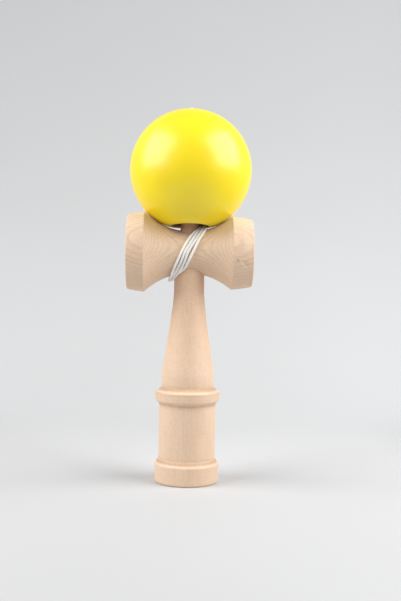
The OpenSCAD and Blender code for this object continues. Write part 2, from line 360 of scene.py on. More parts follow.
# Turned wood. Each pattern has its pace along the grain, as a share of that across it, and its scale
DRIFT_ALONG, DRIFT_SCALE, DRIFT_REACH = 0.12, 32, 7
FLUTTER_SCALE, FLUTTER_REACH = 300, 0.5
FIBRE_ALONG, FIBRE_SCALE, FIBRE_LIGHT = 0.035, 1500, (0.968, 1.028)
FLECK_ALONG, FLECK_SCALE, FLECK_SHARE = 0.2, 2600, 0.16
CLOUD_ALONG, CLOUD_SCALE, CLOUD_SHARE = 0.4, 45, 0.24
TURNED_SCALE, TURNED_LIGHT = 1400, 0.012
MOTTLE_SCALE, MOTTLE_LIGHT = 800, 0.035
# The late wood starts and is darkest at these shares of a ring, and some rings are fainter than others
LATE_START, LATE_FULL = 0.25, 0.86
RING_SCALE, FAINTEST_RING = 420, 0.35
WOOD_ROUGHNESS, WOOD_RELIEF = (0.54, 0.66), 0.06


def wood(name, grain, pith, ring_mm, figure, pale=PALE_WOOD, dark=DARK_WOOD, marks=None):
    """Turned pale wood. The growth rings lie round a line along the grain, which passes the pith."""
    n = Nodes(name)
    x, y, z = n.parts(n.place)
    across_1, across_2, along = {"X": (y, z, x), "Z": (x, y, z)}[grain]

    def drawn_out(pace):
        return n.join(across_1, across_2, n.times(along, pace))

    def shift(place, scale, reach):
        return n.times(n.math("SUBTRACT", n.noise(place, scale, 2), 0.5), reach * MM)

    # Growth rings
    drift = shift(drawn_out(DRIFT_ALONG), DRIFT_SCALE, DRIFT_REACH)
    flutter = shift(drawn_out(DRIFT_ALONG), FLUTTER_SCALE, FLUTTER_REACH)
    off_1 = n.math("SUBTRACT", across_1, pith[0] * MM)
    off_2 = n.math("SUBTRACT", across_2, pith[1] * MM)
    depth = n.vector("LENGTH", n.join(off_1, off_2, 0.0))
    depth = n.math("ADD", depth, n.math("ADD", drift, flutter))
    turn = n.math("FRACT", n.math("DIVIDE", depth, ring_mm * MM))
    late = n.times(n.fade(turn, LATE_START, LATE_FULL), n.fade(turn, LATE_FULL, 1.0, 1.0, 0.0))
    strength = n.fade(n.noise(n.join(depth, 0.0, 0.0), RING_SCALE, 2), 0.35, 0.7, FAINTEST_RING, 1.0)
    late = n.times(late, strength)

    # Fibres, flecks, clouds, mottle and the marks of turning
    fibre = n.noise(drawn_out(FIBRE_ALONG), FIBRE_SCALE, 3, 0.6)
    fleck = n.fade(n.noise(drawn_out(FLECK_ALONG), FLECK_SCALE, 1), 0.64, 0.78)
    cloud = n.noise(drawn_out(CLOUD_ALONG), CLOUD_SCALE, 3)
    turned = n.noise(n.join(0.0, 0.0, along), TURNED_SCALE, 2, 0.7)
    mottle = n.noise(n.join(across_1, across_2, along), MOTTLE_SCALE, 2, 0.6)

    share = n.times(late, figure)
    share = n.math("ADD", share, n.fade(cloud, 0.35, 0.75, 0.0, CLOUD_SHARE))
    share = n.math("ADD", share, n.times(fleck, FLECK_SHARE), clamp=True)
    tone = n.mix(share, pale, dark)
    light = n.fade(fibre, 0.25, 0.75, *FIBRE_LIGHT)
    light = n.math("ADD", light, n.fade(turned, 0.3, 0.7, -TURNED_LIGHT, TURNED_LIGHT))
    light = n.math("ADD", light, n.fade(mottle, 0.3, 0.7, -MOTTLE_LIGHT, MOTTLE_LIGHT))
    if marks:
        tone, light = marks(n, tone, light)
    n.set(Base_Color=n.tint(tone, light))
    n.set(Roughness=n.fade(fibre, 0.2, 0.8, *WOOD_ROUGHNESS))
    n.set(Specular_IOR_Level=0.9)
    n.set(Sheen_Weight=0.08)
    n.set(Sheen_Roughness=0.4)
    n.bump(n.math("ADD", n.times(fibre, 0.5), n.times(turned, 0.5)), WOOD_RELIEF, 0.5)
    return n.material


# Painted light and shade on the handle: heights, and the share of light left there, darker in its grooves and
# paler on its edges
HANDLE_PAINTED_LIGHT = (
    # Painted shade at the standing edge
    (0, 0.92), (1, 1),
    # Painted highlight on the foot's upper edge, and painted shade in the groove above it
    (8.6, 1), (9.7, 1.06), (10.6, 0.67), (11, 0.69), (11.4, 0.8), (11.8, 0.88), (13.5, 1),
    # Painted shade under the collar, a painted highlight on its lower edge, and its side
    (36.5, 1), (37.9, 0.92), (38.3, 0.8), (39.2, 0.98), (39.8, 1.05), (40.4, 1.04), (41, 0.96),
    # Painted highlight on the collar's upper edge, and painted shade in the groove at the foot of the grip
    (43.8, 0.95), (44.4, 0.87), (45.2, 1.1), (45.6, 0.89), (46.1, 0.71), (46.5, 0.66), (46.9, 0.73),
    (47.2, 0.88), (49, 0.98), (51, 1),
)
PAINTED_LIGHT_END = 51.2
# How far the painted light and shade waver up and down round the handle
PAINTED_LIGHT_WAVER, WAVER_SCALE = 0.7, 900
# Heights between which the browner neck and the painted shade at the root of the spike come in and go, and
# their tints
NECK_START, NECK_TINT = (50, 84), (0.97, 0.9, 0.85)
ROOT_START, ROOT_END, ROOT_PAINTED_SHADE = (112, 126), (130, 150), (0.99, 0.87, 0.78)
# Scratches on the grip: where they are along X, Y and Z, how steep, and how pale
SCRATCH_BOX, SCRATCH_SOFT = ((1, 9), (-14, -8), (52.5, 56.5)), 1
SCRATCH_SLOPE, SCRATCH_ALONG, SCRATCH_SCALE, SCRATCH_LIGHT = 0.14, 0.12, 1300, 0.1
# Ticks under the collar
TICK_HEIGHTS, TICK_SOFT, TICK_ALONG, TICK_SCALE, TICK_SHADE = (38.4, 39.5), 0.4, 0.3, 1400, 0.16
# Smudge on the front of the barrel
SMUDGE_X, SMUDGE_X_SOFT, SMUDGE_Z, SMUDGE_Z_SOFT, SMUDGE_LIGHT = (5, 9), 1.5, (14, 23), 3, 0.05
SMUDGE_DEPTH = -10, -6


def handle_marks(n, tone, light):
    """Painted shade in the grooves and painted highlights on the edges, a browner neck, painted shade at the
    root of the spike, pale scratches on the grip, dark ticks under the collar, and a pale smudge on the
    barrel."""
    x, y, z = n.parts(n.place)
    # Painted shade in the grooves and painted highlights on the edges, by height
    stops = [(height * MM, level) for height, level in HANDLE_PAINTED_LIGHT]
    waver = n.math("SUBTRACT", n.noise(n.join(x, y, 0.0), WAVER_SCALE, 2), 0.5)
    height = n.math("ADD", z, n.times(waver, PAINTED_LIGHT_WAVER * MM))
    tone = n.vector("MULTIPLY", tone, n.ramp(height, PAINTED_LIGHT_END * MM, stops))
    tone = n.tinted(n.rise(z, NECK_START), tone, NECK_TINT)
    # Painted shade at the root of the spike, warm like light bounced inside the ball's hole
    tone = n.tinted(n.times(n.rise(z, ROOT_START), n.fall(z, ROOT_END)), tone, ROOT_PAINTED_SHADE)

    sloped = n.math("ADD", z, n.times(x, SCRATCH_SLOPE))
    scratch = n.noise(n.join(n.times(x, SCRATCH_ALONG), 0.0, sloped), SCRATCH_SCALE, 2)
    scratch = n.fade(scratch, 0.56, 0.66)
    for value, ends in zip((x, y, z), SCRATCH_BOX):
        scratch = n.times(scratch, n.band(value, ends, SCRATCH_SOFT))
    light = n.math("ADD", light, n.times(scratch, SCRATCH_LIGHT))

    tick = n.fade(n.noise(n.join(x, y, n.times(z, TICK_ALONG)), TICK_SCALE, 1), 0.48, 0.62)
    tick = n.times(tick, n.band(z, TICK_HEIGHTS, TICK_SOFT))
    light = n.math("SUBTRACT", light, n.times(tick, TICK_SHADE))

    smudge = n.times(n.band(x, SMUDGE_X, SMUDGE_X_SOFT), n.band(z, SMUDGE_Z, SMUDGE_Z_SOFT))
    smudge = n.times(smudge, n.fall(y, SMUDGE_DEPTH))
    light = n.math("ADD", light, n.times(smudge, SMUDGE_LIGHT))
    return tone, light


# Painted light along the top of the cross piece, stronger towards the right: its heights, its shares from
# left to right, and its tint
TOP_HEIGHTS, TOP_PAINTED_LIGHT_TINT = (122, 129), (1.08, 1.24, 1.38)
TOP_SIDES, TOP_LIGHT_SHARES = (-25, 25), (0.45, 1.0)
# The small knot on the front of the right-hand band: its place, and edges as distances from there
BAND_KNOT = (22.9, -17.4, 109.5)
KNOT_FRONT, KNOT_LONG = (-8, -4), 0.7
EYE_EDGE, EYE_SHARE = (0.1, 0.9), 0.5
# The streak that runs down from it, along a slanting way, and the darker patch beside the streak
STREAK_X, STREAK_Z, STREAK_ASIDE = 0.75, 0.66, 0.3
STREAK_EDGE, STREAK_START, STREAK_END, STREAK_LIGHT = (0.2, 0.7), (0.4, 1.6), (4.5, 7), 0.12
PATCH_AT, PATCH_EDGE, PATCH_SHADE = (2.8, 1.6, 0), (0.4, 1.7), 0.13


def cross_marks(n, tone, light):
    """Painted light along the top, stronger towards the right, and a small brown knot with a pale streak
    down from it and a darker patch beside that."""
    place_x, place_y, place_z = n.parts(n.place)
    # Painted light: the top is paler where the lamps light it more
    top = n.times(n.rise(place_z, TOP_HEIGHTS), n.rise(place_x, TOP_SIDES, *TOP_LIGHT_SHARES))
    tone = n.tinted(top, tone, TOP_PAINTED_LIGHT_TINT)

    off = n.vector("SUBTRACT", n.place, tuple(v * MM for v in BAND_KNOT))
    x, _, z = n.parts(off)
    down = n.math("SUBTRACT", n.times(x, STREAK_X), n.times(z, STREAK_Z))
    across = n.math("ADD", n.times(x, STREAK_Z), n.times(z, STREAK_X))
    oval = n.join(n.times(down, KNOT_LONG), across, 0.0)
    front = n.fall(place_y, KNOT_FRONT)
    eye = n.times(n.rise(n.vector("LENGTH", oval), EYE_EDGE, EYE_SHARE, 0.0), front)
    tone = n.mix(eye, tone, KNOT_BROWN)

    aside = n.math("ABSOLUTE", n.math("SUBTRACT", across, STREAK_ASIDE * MM))
    streak = n.times(n.rise(aside, STREAK_EDGE, STREAK_LIGHT, 0.0), front)
    streak = n.times(streak, n.rise(down, STREAK_START), n.fall(down, STREAK_END))
    away = n.vector("DISTANCE", oval, tuple(v * MM for v in PATCH_AT))
    patch = n.times(n.rise(away, PATCH_EDGE, PATCH_SHADE, 0.0), front)
    return tone, n.math("ADD", light, n.math("SUBTRACT", streak, patch))


PAINT_ROUGHNESS, PAINT_RELIEF = (0.31, 0.36), 0.02


def paint():
    """Smooth yellow paint with a faint ripple."""
    n = Nodes("yellow_paint")
    cloud = n.noise(n.place, 60, 3)
    n.set(Base_Color=n.mix(n.fade(cloud, 0.3, 0.7), YELLOW, DEEP_YELLOW))
    scuff = n.noise(n.place, 700, 4, 0.7)
    n.set(Roughness=n.fade(scuff, 0.35, 0.7, *PAINT_ROUGHNESS))
    n.set(Specular_IOR_Level=0.75)
    n.bump(n.noise(n.place, 900, 2), PAINT_RELIEF, 0.35)
    return n.material


# Fibres across the drilled hole, and the rings that the drill left
BORED_ALONG, BORED_SCALE, DRILL_SCALE, BORED_RELIEF = 0.1, 900, 1800, 0.1


def raw_wood():
    """Bare drilled wood inside the ball's hole, darker and redder than it is, as painted shade there."""
    n = Nodes("bored_wood")
    x, y, z = n.parts(n.place)
    fibre = n.noise(n.join(x, n.times(y, BORED_ALONG), z), BORED_SCALE, 4, 0.6)
    rings = n.noise(n.join(0.0, 0.0, z), DRILL_SCALE, 2)
    n.set(Base_Color=n.tint(RAW_WOOD, n.fade(fibre, 0.2, 0.8, 0.8, 1.05)))
    n.set(Roughness=0.75)
    n.bump(n.math("ADD", fibre, rings), BORED_RELIEF, 0.5)
    return n.material


# Paces of the cotton's hairs along and across a ply
HAIR_PACE, HAIR_RELIEF = (2.2, 9, 1), 0.08


def cotton():
    """Twisted off-white cotton, with painted shade in the grooves between its plies."""
    n = Nodes("cotton")
    ply = n.add("Attribute", attribute_name="ply").outputs["Fac"]
    strand = n.add("UVMap", uv_map="along").outputs["UV"]
    hair = n.noise(n.vector("MULTIPLY", strand, HAIR_PACE), 1.0, 4, 0.7)
    # Painted shade in the grooves between the plies, broken by the hairs
    shade_share = n.times(n.fade(ply, 0.0, 0.75), n.fade(hair, 0.2, 0.7, 0.75, 1.0))
    n.set(Base_Color=n.mix(shade_share, COTTON_SHADE, COTTON))
    n.set(Roughness=0.9)
    n.set(Specular_IOR_Level=0.15)
    n.set(Sheen_Weight=0.5)
    n.set(Sheen_Roughness=0.5)
    n.bump(hair, HAIR_RELIEF, 0.6)
    return n.material


# String: its route first, then its twisted plies

def waist_arc(x):
    """Radius of the arc of the waist on that side of the middle."""
    band, ridge_r = (LARGE_BAND, LARGE_RIDGE_R) if x < 0 else (SMALL_BAND, SMALL_RIDGE_R)
    ridge_x = CROSS_HALF - band
    rise = ridge_r - WAIST_R
    return (ridge_x ** 2 + rise ** 2) / (2 * rise)


def waist_r(x):
    """Radius of the waist at a place along the cross piece."""
    return WAIST_R + waist_arc(x) - math.sqrt(waist_arc(x) ** 2 - x ** 2)


def taper_r(z):
    """Radius of the handle from its neck to its tip."""
    return float(np.interp(z, [SEAT_Z, SPIKE_Z, TIP_Z - TIP_R], [NECK_R, ROOT_R, TIP_R]))


# Angles round the waist: -90 is under it, 0 in front and 90 on top. Each pass across the front
# has its places along the cross piece at those angles, and how many strands it lies over
PASS_ANGLES = (-90, -65, -45, -22, 0, 30, 60, 75, 90)
PASS_X = (
    (-8.0, -5.0, -2.6, -0.6, 1.5, 4.2, 7.0, 7.8, 8.1),
    (-8.6, -6.4, -4.3, -2.4, -0.9, 2.6, 5.5, 6.6, 7.2),
    (-9.2, -7.8, -6.0, -4.1, -2.4, 0.9, 3.9, 5.6, 6.3),
    (-9.8, -9.1, -7.9, -6.0, -4.0, -1.0, 2.3, 4.7, 5.4),
)
PASS_OVER = (
    (0, 0, 0, 0, 0, 0, 0, 0, 0),
    (0.9, 0.45, 0.1, 0, 0, 0, 0.1, 0.35, 0.7),
    (0, 0, 0, 0, 0, 0, 0, 0, 0),
    (0.9, 0.45, 0.1, 0, 0, 0, 0.1, 0.35, 0.7),
)
# Out of its hole at the back and down to the first pass, whose turn is given as the passes are:
# place along the cross piece, angle, and strands that it lies over
START_POINTS = (
    (0, 7.9, 113.43), (0, 9.4, 113.43), (-0.15, 10.7, 113.2), (-0.55, 11.7, 112.6), (-1.2, 12.3, 111.4),
)
START_TURN = ((-2.4, -158, 0.3), (-4, -143, 0.1), (-5.8, -126, 0), (-7.4, -107, 0))
# Behind the waist: how far each pass lies beside the last, by which angle it comes off the strands
# that it lay over, and from which angle it climbs on the next ones
BACK_ANGLES = (115, 140, 165, 190, 215, 240)
BACK_STEP = 2
LEAVE_ANGLE, LEAVE_SPAN = 140, 50
CLIMB_ANGLE, CLIMB_SPAN = 190, 80
# From the winding, under the ball's rim, up its back, over its top and down through the bead
RUN_POINTS = (
    (4.6, 4.6, 125.7), (4.3, 7.6, 124.9), (3.8, 10.6, 125), (3.2, 15.2, 127.3), (2.5, 20.6, 131.2),
    (1.8, 25, 135.9), (1.2, 28.3, 141.5), (0.6, 30.3, 147.7), (0.2, 31, 154.1), (0, 30.3, 160.6),
    (0, 28.3, 166.7), (0, 25.1, 172.4), (0, 20.7, 177.2), (0, 15.5, 181), (0, 9.6, 183.7),
    (0, 5.6, 184.7), (0, 3.2, 184.9), (0, 1, 184), (0, 0, 181.7), (0, 0, 177.5),
    (0, 0, 171.5), (0, 0, 165.5), (0, 0, 159.4),
)
# Room between the string and the wood
STRING_ROOM = 0.1


def keep_off_handle(point):
    """Moves a point of the string outwards where it is too close to the handle."""
    clear = taper_r(point[2]) + STRING_R + STRING_ROOM
    point[:2] *= max(1, clear / math.hypot(point[0], point[1]))


def on_waist(x, angle, over):
    """The middle of a strand that lies on the waist, clear of the handle."""
    a = math.radians(angle)
    arc_r = waist_arc(x)
    slant = arc_r / math.sqrt(arc_r ** 2 - x ** 2)
    r = waist_r(x) + (STRING_R + STRING_ROOM) * slant + STRING_D * over
    point = np.array([x, -r * math.cos(a), CROSS_Z + r * math.sin(a)])
    keep_off_handle(point)
    return point


def string_route():
    """The points that the string passes, from inside the cross piece to under the bead."""
    points = [np.array(p, float) for p in START_POINTS]
    points += [on_waist(*p) for p in START_TURN]
    last = len(PASS_X) - 1
    for k, (places, overs) in enumerate(zip(PASS_X, PASS_OVER)):
        points += [on_waist(*p) for p in zip(places, PASS_ANGLES, overs)]
        if k == last:
            break
        for angle in BACK_ANGLES:
            up = math.sin(math.radians(angle))
            end = places[-1] if up > 0 else PASS_X[k + 1][0]
            x = -BACK_STEP * (k + 1) * (1 - abs(up)) + end * abs(up)
            leaving = max(0, LEAVE_ANGLE - angle) / LEAVE_SPAN
            climbing = max(0, angle - CLIMB_ANGLE) / CLIMB_SPAN
            over = overs[-1] * leaving + PASS_OVER[k + 1][0] * climbing
            points.append(on_waist(x, angle, over))
    return points + [np.array(p, float) for p in RUN_POINTS]


def smooth_line(points, steps=14):
    """A centripetal spline through points."""
    p = np.array(points)
    q = np.vstack([2 * p[0] - p[1], p, 2 * p[-1] - p[-2]])
    line = []
    for a, b, c, d in zip(q, q[1:], q[2:], q[3:]):
        ta = np.linalg.norm(b - a) ** 0.5
        tb = ta + np.linalg.norm(c - b) ** 0.5
        tc = tb + np.linalg.norm(d - c) ** 0.5
        for t in np.linspace(ta, tb, steps, endpoint=False):
            a1 = ((ta - t) * a + t * b) / ta
            a2 = ((tb - t) * b + (t - ta) * c) / (tb - ta)
            a3 = ((tc - t) * c + (t - tb) * d) / (tc - tb)
            b1 = ((tb - t) * a1 + t * a2) / tb
            b2 = ((tc - t) * a2 + (t - ta) * a3) / (tc - ta)
            line.append(((tb - t) * b1 + (t - ta) * b2) / (tb - ta))
    line.append(p[-1])
    return np.array(line)


def evenly(line, step):
    """The same line with its points evenly spaced."""
    along = np.r_[0, np.cumsum(np.linalg.norm(np.diff(line, axis=0), axis=1))]
    at = np.linspace(0, along[-1], round(along[-1] / step) + 1)
    return np.stack([np.interp(at, along, line[:, i]) for i in range(3)], 1)


def eased(line, reach):
    """The line with each point drawn to the mean of its neighbours, and its ends kept."""
    window = np.hanning(2 * reach + 3)[1:-1]
    window /= window.sum()
    padded = np.pad(line, ((reach, reach), (0, 0)), mode="edge")
    out = np.stack([np.convolve(padded[:, i], window, "valid") for i in range(3)], 1)
    from_start = np.arange(len(line))
    from_end = from_start[::-1]
    share = np.clip(np.minimum(from_start, from_end) / reach, 0, 1)
    return line + (out - line) * share[:, None]


def clear_of_neck(line):
    """The line with its points under the cross piece kept off the handle."""
    out = line.copy()
    for point in out:
        if point[2] < CROSS_Z - WAIST_R / 2:
            keep_off_handle(point)
    return out


# Plies, as shares of the string's radius, and the length of one turn of their twist
PLIES = 3
PLY_OFF, PLY_R = 0.36, 0.64
LAY_LENGTH = 3.6
ROPE_SIDES, ROPE_STEP, EASE_REACH = 24, 0.2, 6
ROPE_SHARP_ANGLE = 80
# Any way that the string doesn't start along
FIRST_SIDE = (0.3, 0.5, 0.8)


def ply_outline(angle):
    """Share of the string's radius at an angle round it, for plies pressed together."""
    sector = 2 * math.pi / PLIES
    off = (angle + sector / 2) % sector - sector / 2
    return PLY_OFF * np.cos(off) + np.sqrt(PLY_R ** 2 - (PLY_OFF * np.sin(off)) ** 2)


def rope(name, line, radius, material, closed=False):
    """A tube of twisted plies along a line of evenly spaced points."""
    count = len(line)
    way = np.gradient(line, axis=0)
    if closed:
        way = np.roll(line, -1, 0) - np.roll(line, 1, 0)
    way /= np.linalg.norm(way, axis=1)[:, None]
    side = np.cross(way[0], FIRST_SIDE)
    sides = []
    for w in way:
        side = side - (side @ w) * w
        side /= np.linalg.norm(side)
        sides.append(side)
    sides = np.array(sides)
    ups = np.cross(way, sides)
    along = np.r_[0, np.cumsum(np.linalg.norm(np.diff(line, axis=0), axis=1))]
    angles = 2 * math.pi * np.arange(ROPE_SIDES) / ROPE_SIDES
    twist = 2 * math.pi * along / LAY_LENGTH
    share = ply_outline(angles[None, :] - twist[:, None])
    ring = np.cos(angles)[:, None] * sides[:, None, :] + np.sin(angles)[:, None] * ups[:, None, :]
    points = (line[:, None, :] + (radius * share)[:, :, None] * ring).reshape(-1, 3)
    faces, corners = [], []
    for i in range(count if closed else count - 1):
        here = i * ROPE_SIDES
        there = (i + 1) % count * ROPE_SIDES
        for k in range(ROPE_SIDES):
            m = (k + 1) % ROPE_SIDES
            faces.append((here + k, here + m, there + m, there + k))
            corners.append(((i, k), (i, k + 1), (i + 1, k + 1), (i + 1, k)))
    if not closed:
        faces.append(tuple(reversed(range(ROPE_SIDES))))
        faces.append(tuple((count - 1) * ROPE_SIDES + k for k in range(ROPE_SIDES)))
    piece = new_piece(name, points, faces, [material], ROPE_SHARP_ANGLE)
    # How far out each point is, from the groove between two plies to the top of one, which the cotton's
    # painted shade follows
    least = ply_outline(math.pi / PLIES)
    depth = piece.data.attributes.new("ply", "FLOAT", "POINT")
    depth.data.foreach_set("value", ((share - least) / (1 - least)).ravel().astype(np.float32))
    step = along[-1] / (count - 1)
    layer = piece.data.uv_layers.new(name="along")
    uv = []
    for quad in corners:
        for i, k in quad:
            uv.append((i * step, (k / ROPE_SIDES - i * step / LAY_LENGTH) * PLIES))
    uv += [(0.0, 0.0)] * (len(piece.data.loops) - len(uv))
    layer.data.foreach_set("uv", np.array(uv, np.float32).ravel())
    return piece


# Knots: their sizes across, and the string's radius where it is pulled tight in them
CROSS_KNOT_D, BEAD_KNOT_D = 2.5, 3.2
KNOT_STRING_R = STRING_R * 0.8
KNOT_DEPTH, KNOT_STEPS = 1.3, 240


def knot_line(size, middle, axis):
    """A closed overhand knot that fits a ball of that size."""
    t = np.linspace(0, 2 * math.pi, KNOT_STEPS, endpoint=False)
    across_1 = np.sin(t) + 2 * np.sin(2 * t)
    across_2 = np.cos(t) - 2 * np.cos(2 * t)
    shape = np.stack([across_1, across_2, -KNOT_DEPTH * np.sin(3 * t)], 1)
    shape *= (size / 2 - KNOT_STRING_R) / 3
    if axis == "Y":
        shape = shape[:, [0, 2, 1]]
    return shape + np.array(middle)


def make_string():
    cotton_string = cotton()
    line = evenly(smooth_line(string_route()), ROPE_STEP)
    line = clear_of_neck(eased(line, EASE_REACH))
    string = rope("string", line, STRING_R, cotton_string)
    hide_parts("string_winding", "string_run")
    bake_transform(string)
    for node, body, size, middle, axis in (
        ("cross_knot", "cross_piece", CROSS_KNOT_D, (0, CROSS_KNOT_Y, CROSS_Z), "Y"),
        ("bead_knot", "bead", BEAD_KNOT_D, (0, 0, BEAD_KNOT_Z), "Z"),
    ):
        knot = rope("string_" + node, knot_line(size, middle, axis), KNOT_STRING_R, cotton_string, True)
        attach(knot, body)
        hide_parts(node)


make_string()


# Handle

# Corner radii, from the standing edge up
FOOT_LOW_CORNER, FOOT_TOP_CORNER, BARREL_CORNER = 0.9, 1.1, 1.6
COLLAR_UNDER_CORNER, COLLAR_LOW_CORNER, COLLAR_TOP_CORNER, GRIP_CORNER = 0.5, 0.5, 0.7, 0.3
HANDLE_SIDES, HANDLE_LONGEST, FLARE_STEPS, TIP_STEPS = 128, 2, 40, 12


def flare():
    """The grip's side, narrowing to the neck."""
    return bezier(
        (GRIP_R, FLARE_Z),
        (GRIP_R, FLARE_Z + FLARE_GRIP_EASE),
        (NECK_R, NECK_Z - FLARE_NECK_EASE),
        (NECK_R, NECK_Z),
        FLARE_STEPS,
    )


def make_handle():
    hollow = dish(BASE_CUP_R, BASE_CUP_DEPTH)
    side = rounded(
        [
            (BASE_CUP_R + LIP_BREAK, 0, 0),
            (FOOT_R, 0, FOOT_LOW_CORNER),
            (FOOT_R, FOOT_H, FOOT_TOP_CORNER),
            (BARREL_R, BARREL_Z, BARREL_CORNER),
            (BARREL_R, COLLAR_UNDER_Z, COLLAR_UNDER_CORNER),
            (COLLAR_R, COLLAR_Z, COLLAR_LOW_CORNER),
            (COLLAR_R, COLLAR_TOP_Z, COLLAR_TOP_CORNER),
            (GRIP_R, GRIP_Z, GRIP_CORNER),
            (GRIP_R, FLARE_Z, 0),
        ]
    )
    spike = [(NECK_R, SEAT_Z), (ROOT_R, SPIKE_Z)]
    tip = arc((0, TIP_Z - TIP_R), TIP_R, 0, math.pi / 2, TIP_STEPS)
    outline = dense(hollow + side + list(flare())[1:] + spike + tip, HANDLE_LONGEST)
    outline[0][0] = outline[-1][0] = 0
    points, faces, _ = lathe(outline, HANDLE_SIDES)
    piece = new_piece("turned_handle", points, faces, [handle_wood])
    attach(piece, "handle")
    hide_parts("handle")


# Cross piece

# Shares of the way to a ridge, and how much fuller the waist is there, so that the ball sits close on it
WAIST_FULLER = (0.5, 0.7, 0.9, 1), (0, 0.14, 0.14, 0)
# Corner radii, and how far past a ridge the waist's outline is met
RIM_CORNER, BAND_CORNER, RIDGE_CORNER = 0.5, 12, 0.6
CORNER_REACH, WAIST_REACH = 2, 1
CROSS_SIDES, CROSS_LONGEST, WAIST_POINTS = 160, 1.2, 60
SEAT_SIDES, SEAT_LONGEST, HOLE_SIDES = 96, 3, 48
# How far the string hole's cutter stands out of the wood, and the height of the pocket's step
CUT_PAST, STEP_H = 1, 0.01


def cup(side, rim_r, ridge_r, band, depth):
    """From the middle of a cup's hollow to its ridge, with height measured outwards. Side is -1 or 1."""
    inner = rim_r - LIP_W
    hollow = [(r, CROSS_HALF - h) for r, h in dish(inner, depth)]
    past_ridge = CROSS_HALF - band - CORNER_REACH
    outside = rounded(
        [
            (inner + LIP_BREAK, CROSS_HALF, 0),
            (rim_r, CROSS_HALF, RIM_CORNER),
            ((rim_r + ridge_r) / 2 + BAND_BULGE, CROSS_HALF - band / 2, BAND_CORNER),
            (ridge_r, CROSS_HALF - band, RIDGE_CORNER),
            (waist_r(side * past_ridge), past_ridge, 0),
        ]
    )
    return hollow + outside[:-1]


def waist():
    """The outline between the two ridges, from the large cup to the small one."""
    low = -CROSS_HALF + LARGE_BAND + WAIST_REACH
    high = CROSS_HALF - SMALL_BAND - WAIST_REACH
    points = []
    for x in np.linspace(low, high, WAIST_POINTS):
        ridge_x = CROSS_HALF - (LARGE_BAND if x < 0 else SMALL_BAND)
        points.append((waist_r(x) + np.interp(abs(x) / ridge_x, *WAIST_FULLER), x))
    return points


def seat_cutter():
    """The tapered hole for the handle."""
    seat = [(0, SEAT_Z), (NECK_R + SEAT_GAP, SEAT_Z), (ROOT_R + SEAT_GAP, SPIKE_Z), (0, SPIKE_Z)]
    points, faces, _ = lathe(dense(seat, SEAT_LONGEST), SEAT_SIDES)
    return new_piece("seat_cut", points, faces, [])


def hole_cutter():
    """The pocket for the string's knot and the flared hole that the string leaves by, at the back."""
    pocket = [
        (0, 0),
        (KNOT_POCKET_R, 0),
        (KNOT_POCKET_R, KNOT_POCKET_END),
        (EXIT_HOLE_R, KNOT_POCKET_END + STEP_H),
        (EXIT_HOLE_R, WAIST_R - EXIT_FLARE),
        (EXIT_HOLE_R + EXIT_FLARE + CUT_PAST, WAIST_R + CUT_PAST),
        (0, WAIST_R + CUT_PAST),
    ]
    points, faces, _ = lathe(pocket, HOLE_SIDES)
    points = points[:, [1, 2, 0]] + np.array([0, 0, CROSS_Z])
    return new_piece("hole_cut", points, faces, [])


def cut_away(piece, *cutters):
    """Cuts the shapes out of a piece and removes them."""
    for cut in cutters:
        step = piece.modifiers.new(cut.name, "BOOLEAN")
        step.operation = "DIFFERENCE"
        step.solver = "EXACT"
        step.object = cut
    graph = bpy.context.evaluated_depsgraph_get()
    mesh = bpy.data.meshes.new_from_object(piece.evaluated_get(graph))
    piece.modifiers.clear()
    piece.data = mesh
    shade(mesh, SHARP_ANGLE)
    for cut in cutters:
        bpy.data.objects.remove(cut)


def make_cross_piece():
    large = cup(-1, LARGE_RIM_R, LARGE_RIDGE_R, LARGE_BAND, LARGE_DEPTH)
    small = cup(1, SMALL_RIM_R, SMALL_RIDGE_R, SMALL_BAND, SMALL_DEPTH)
    outline = [(r, -h) for r, h in large] + waist() + small[::-1]
    outline = dense(outline, CROSS_LONGEST)
    outline[0][0] = outline[-1][0] = 0
    points, faces, _ = lathe(outline, CROSS_SIDES)
    points = points[:, [2, 0, 1]] + np.array([0, 0, CROSS_Z])
    piece = new_piece("turned_cross_piece", points, faces, [cross_wood])
    cut_away(piece, seat_cutter(), hole_cutter())
    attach(piece, "cross_piece")
    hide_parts("cross_piece")


# Ball

# Angles from straight down, and how far the ball swells there to sit close on the cross piece
UNDERSIDE = (23, 26, 30, 37, 44, 50, 58, 66, 74), (0, 0.14, 0.26, 0.3, 0.3, 0.2, 0.09, 0.02, 0)
# Depths inside the ball at which its swelling starts and is full
SWELL_START, SWELL_FULL = 1.5, 0.5
# The hole's mouth is turned towards the front, as in the photograph, where the ball leans back. It turns more
# at the front than at the back, where the string passes, and less and less up to a height below the middle
FRONT_LEAN, BACK_LEAN = math.radians(5.5), math.radians(1)
LEAN_FULL, LEAN_NONE = -27, -12
# Share of the string hole's flare that widens it at the top, and of the rim's rounding that is bare wood,
# whose dark colour is painted shade in the hole's mouth
FLARE_SHARE, BARE_SHARE = 0.55, 0.6
BALL_SIDES, BALL_LONGEST, BALL_STEPS, RIM_STEPS = 160, 2, 110, 16


def lean_mouth(points):
    """Turns the lower part of the ball about a line through its middle, from left to right."""
    x, y, z = points.T
    to_front = (1 - y / np.hypot(x, y)) / 2
    share = np.interp(z, (LEAN_FULL, LEAN_NONE), (1, 0))
    angle = (BACK_LEAN + (FRONT_LEAN - BACK_LEAN) * to_front) * share * share * (3 - 2 * share)
    leant_y = y * np.cos(angle) + z * np.sin(angle)
    leant_z = z * np.cos(angle) - y * np.sin(angle)
    return np.stack([x, leant_y, leant_z], 1)


def swell_underside(points):
    """Makes the outside a little fuller beside the hole, and the same all round."""
    from_middle = np.linalg.norm(points, axis=1)
    from_below = np.degrees(np.arccos(-points[:, 2] / from_middle))
    outside = np.interp(from_middle, (BALL_R - SWELL_START, BALL_R - SWELL_FULL), (0, 1))
    swell = 1 + outside * np.interp(from_below, *UNDERSIDE) / BALL_R
    return points * swell[:, None]


